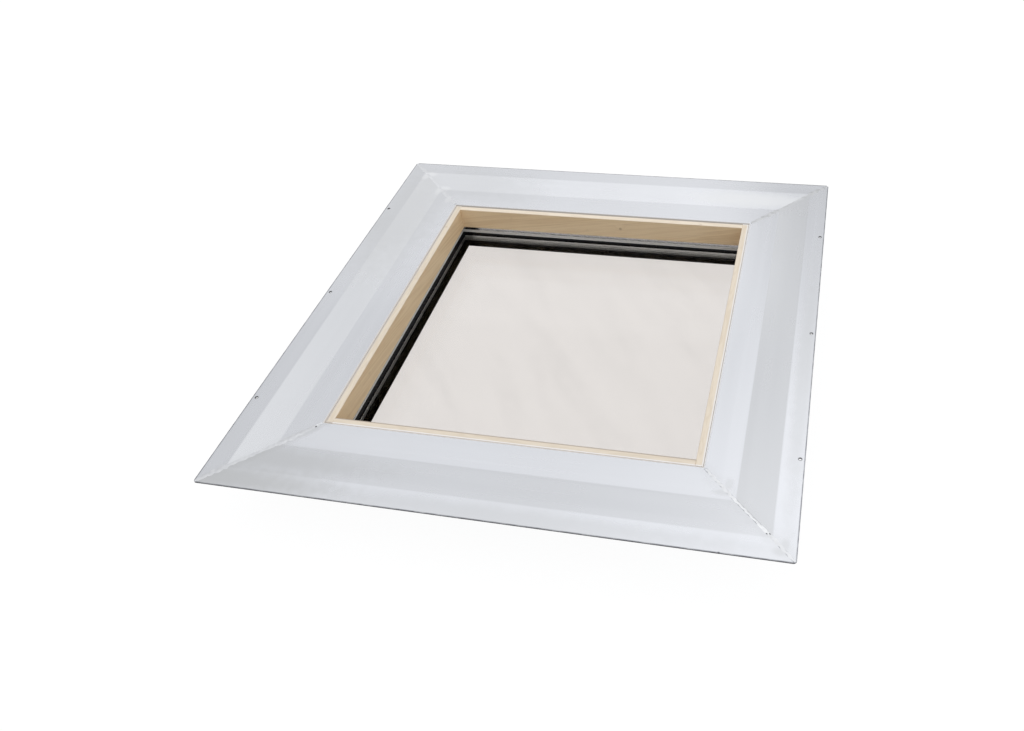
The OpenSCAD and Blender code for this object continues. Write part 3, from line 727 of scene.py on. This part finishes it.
key_plastic = moulded("key_plastic", (0.03, 0.031, 0.033), rough=0.45, scale=600.0, depth=0.00003)
dress("corner_keys", key_plastic)
drying_beads = moulded("drying_beads", (0.58, 0.45, 0.31), rough=0.8, scale=900.0, depth=0.0004)
dress("desiccant", drying_beads)
butyl = moulded("butyl", (0.003, 0.003, 0.003), rough=0.6, scale=500.0, depth=0.00003, gloss=0.2)
dress("room_butyl", butyl)
dress("weather_butyl", butyl)
sealant = moulded("edge_sealant", (0.004, 0.004, 0.004), rough=0.6, scale=300.0, depth=0.00006, gloss=0.2)
dress("edge_sealant", sealant)


# Glazing: black butyl tape on the seat, a tooled silicone bead between the curb and the glass,
# and rubber blocks that keep the unit in the middle of the cap.
tape = moulded("glazing_tape", (0.004, 0.004, 0.004), rough=0.6, scale=700.0, depth=0.00005, gloss=0.15)
for side in runs_along_x:
    dress("seat_tape_" + side, tape)
# The silicone bead's top edge carries a painted highlight line.
bead_lip = bead_top - 0.002
silicone = moulded("tooled_silicone", (0.003, 0.003, 0.0035), rough=0.3, scale=140.0, depth=0.00003,
                   gloss=0.15, highlight_above=bead_lip)
dress("heel_bead", silicone)
block_rubber = moulded("block_rubber", (0.010, 0.010, 0.0105), rough=0.65, scale=500.0, depth=0.00008,
                       gloss=0.3)
dress("setting_blocks", block_rubber)


# Cap: four extruded aluminium angles, mitred, with a rubber gasket against the glass on each.
# Pan-head screws with sealing washers hold their side legs to the flashing's lip.
extruded_shades = (0.74, 0.75, 0.77), (0.82, 0.83, 0.85)
mark_grey = (0.60, 0.60, 0.61)
steel_grey = (0.68, 0.67, 0.65)


def extruded_aluminium(name, along_x):
    """Extruded section: straight die lines along it, and small dull marks."""
    material, tree, place = new_finish(name, Metallic=1.0)
    die_lines = grain(tree, stretched(tree, place, lengthwise(along_x, 1.0, 700.0)), detail=3.0)
    marks = grain(tree, place, 40.0, detail=5.0)
    colour = tinted(tree, between(tree, die_lines, 0.3, 0.7), *extruded_shades)
    to_surface(
        tree,
        Base_Color=tinted(tree, between(tree, marks, 0.58, 0.75, 0.0, 0.4), colour, mark_grey),
        Roughness=between(tree, marks, 0.3, 0.7, 0.26, 0.4),
        Normal=raised(tree, die_lines, 0.00002))
    return material


gasket_rubber = moulded("gasket_rubber", (0.004, 0.004, 0.0045), rough=0.55, scale=450.0, depth=0.00004,
                        gloss=0.3)
for side, along_x in runs_along_x.items():
    dress("cap_gasket_" + side, gasket_rubber)
    dress("cap_" + side, extruded_aluminium("extruded_aluminium_" + side, along_x))
dress("cap_screws", plated_steel("stainless_steel", steel_grey))
washer_rubber = moulded("washer_rubber", (0.012, 0.012, 0.012), rough=0.6, scale=600.0, depth=0.00005,
                        gloss=0.3)
dress("cap_washers", washer_rubber)


# Floor: a plain white sheet, wide enough to fill the picture. Where the camera sees it, itself or in metal
# and glass, it is white and keeps a soft shadow. For all other light it is a pale grey.
floor_half = 9.0
floor_middle = (0.0, 3.0, -0.0002)
floor_pale, floor_shaded, floor_glow = ((level, level, level, 1.0) for level in (0.8, 0.12, 0.91))
floor_shape = bmesh.new()
bmesh.ops.create_grid(floor_shape, x_segments=1, y_segments=1, size=floor_half)
bmesh.ops.translate(floor_shape, vec=floor_middle, verts=floor_shape.verts)
floor_mesh = bpy.data.meshes.new("floor")
floor_shape.to_mesh(floor_mesh)
floor_shape.free()
floor_material = bpy.data.materials.new("white_floor")
floor_material.use_nodes = True
tree = floor_material.node_tree
tree.nodes.clear()
pale = add_node(tree, "ShaderNodeBsdfDiffuse", {"Color": floor_pale}).outputs[0]
shaded = add_node(tree, "ShaderNodeBsdfDiffuse", {"Color": floor_shaded}).outputs[0]
glow = add_node(tree, "ShaderNodeEmission", {"Color": floor_glow, "Strength": 1.0}).outputs[0]
white = add_node(tree, "ShaderNodeAddShader", {0: shaded, 1: glow}).outputs[0]
path = add_node(tree, "ShaderNodeLightPath").outputs
seen = sum_of(tree, "MAXIMUM", path["Is Camera Ray"], path["Is Glossy Ray"])
seen = sum_of(tree, "MAXIMUM", seen, path["Is Transmission Ray"])
surface = add_node(tree, "ShaderNodeMixShader", {0: seen, 1: pale, 2: white}).outputs[0]
add_node(tree, "ShaderNodeOutputMaterial", {"Surface": surface})
floor_mesh.materials.append(floor_material)
floor = bpy.data.objects.new("floor", floor_mesh)
bpy.context.scene.collection.objects.link(floor)


# Light: a soft white room that is brighter overhead and to the right, with a faint window at the back left,
# and two weak panels behind the skylight. All of them mostly show in its metal.
# Seen straight on or through the glass, the room is plain white. Metal reflects the room as it lights.
room_tint = (0.972, 0.984, 1.0, 1.0)
plain_white = (1.0, 1.0, 1.0, 1.0)
room_level = 0.66
overhead_gain, overhead_power = 0.90, 2.9
gain_to_right, gain_to_back = 0.34, -0.17
window_way, window_reach, window_gain = (-0.52, 0.57, 0.636), 0.33, 0.2
low_share, low_up_to = 0.78, 0.45
dimmest, brightest = 0.5, 1.09
world = bpy.data.worlds.new("studio")
world.use_nodes = True
tree = world.node_tree
tree.nodes.clear()
towards = add_node(tree, "ShaderNodeTexCoord").outputs["Generated"]
axes = axes_of(tree, towards)
rise = sum_of(tree, "POWER", sum_of(tree, "MAXIMUM", axes["Z"], 0.0), overhead_power)
level = sum_of(tree, "ADD", sum_of(tree, "MULTIPLY", rise, overhead_gain), room_level)
level = sum_of(tree, "ADD", level, sum_of(tree, "MULTIPLY", axes["X"], gain_to_right))
level = sum_of(tree, "ADD", level, sum_of(tree, "MULTIPLY", axes["Y"], gain_to_back))
off_window = distance_to(tree, towards, window_way)
level = sum_of(tree, "ADD", level, between(tree, off_window, 0.0, window_reach, window_gain, 0.0))
level = sum_of(tree, "MULTIPLY", level, between(tree, axes["Z"], 0.0, low_up_to, low_share, 1.0))
level = sum_of(tree, "MAXIMUM", sum_of(tree, "MINIMUM", level, brightest), dimmest)
room = add_node(tree, "ShaderNodeBackground", {"Color": room_tint, "Strength": level}).outputs[0]
behind = add_node(tree, "ShaderNodeBackground", {"Color": plain_white, "Strength": 1.0}).outputs[0]
path = add_node(tree, "ShaderNodeLightPath").outputs
seen = sum_of(tree, "MAXIMUM", path["Is Camera Ray"], path["Is Transmission Ray"])
surround = add_node(tree, "ShaderNodeMixShader", {0: seen, 1: room, 2: behind}).outputs[0]
add_node(tree, "ShaderNodeOutputWorld", {"Surface": surround})
bpy.context.scene.world = world


def light_panel(name, middle, size_x, size_y, brightness):
    """A level panel that shines straight down, as bright all over as a white sheet of that brightness."""
    lamp = bpy.data.lights.new(name, "AREA")
    lamp.shape = "RECTANGLE"
    lamp.size = size_x
    lamp.size_y = size_y
    lamp.energy = math.pi * size_x * size_y * brightness
    panel = bpy.data.objects.new(name, lamp)
    panel.location = middle
    bpy.context.scene.collection.objects.link(panel)


light_panel("panel_back_left", (-1.26, 2.08, 1.33), size_x=2.91, size_y=1.31, brightness=0.33)
light_panel("panel_back_right", (1.15, 3.36, 3.94), size_x=1.88, size_y=2.09, brightness=0.24)


# Camera: the photograph's own view. The picture was trimmed after it was taken, so the middle of the
# view isn't the middle of the picture, and the camera leans a little to its side.
picture_w = 1024
focal_px = 858.72
middle_px = 640.03
stand = (0.451, -1.1363, 1.1388)
azimuth, elevation, lean = (math.radians(angle) for angle in (14.963, 44.412, -5.060))
sensor_w = 36.0
back = Vector((
    math.sin(azimuth) * math.cos(elevation),
    -math.cos(azimuth) * math.cos(elevation),
    math.sin(elevation)))
level_right = Vector((0.0, 0.0, 1.0)).cross(back).normalized()
level_up = back.cross(level_right)
right = level_right * math.cos(lean) + level_up * math.sin(lean)
up = level_up * math.cos(lean) - level_right * math.sin(lean)
camera = bpy.data.cameras.new("camera")
camera.sensor_width = sensor_w
camera.lens = focal_px * sensor_w / picture_w
camera.shift_x = (picture_w / 2 - middle_px) / picture_w
viewer = bpy.data.objects.new("camera", camera)
bpy.context.scene.collection.objects.link(viewer)
viewer.matrix_world = Matrix.Translation(stand) @ Matrix((right, up, back)).transposed().to_4x4()
bpy.context.scene.camera = viewer
bpy.context.scene.view_settings.view_transform = "Standard"
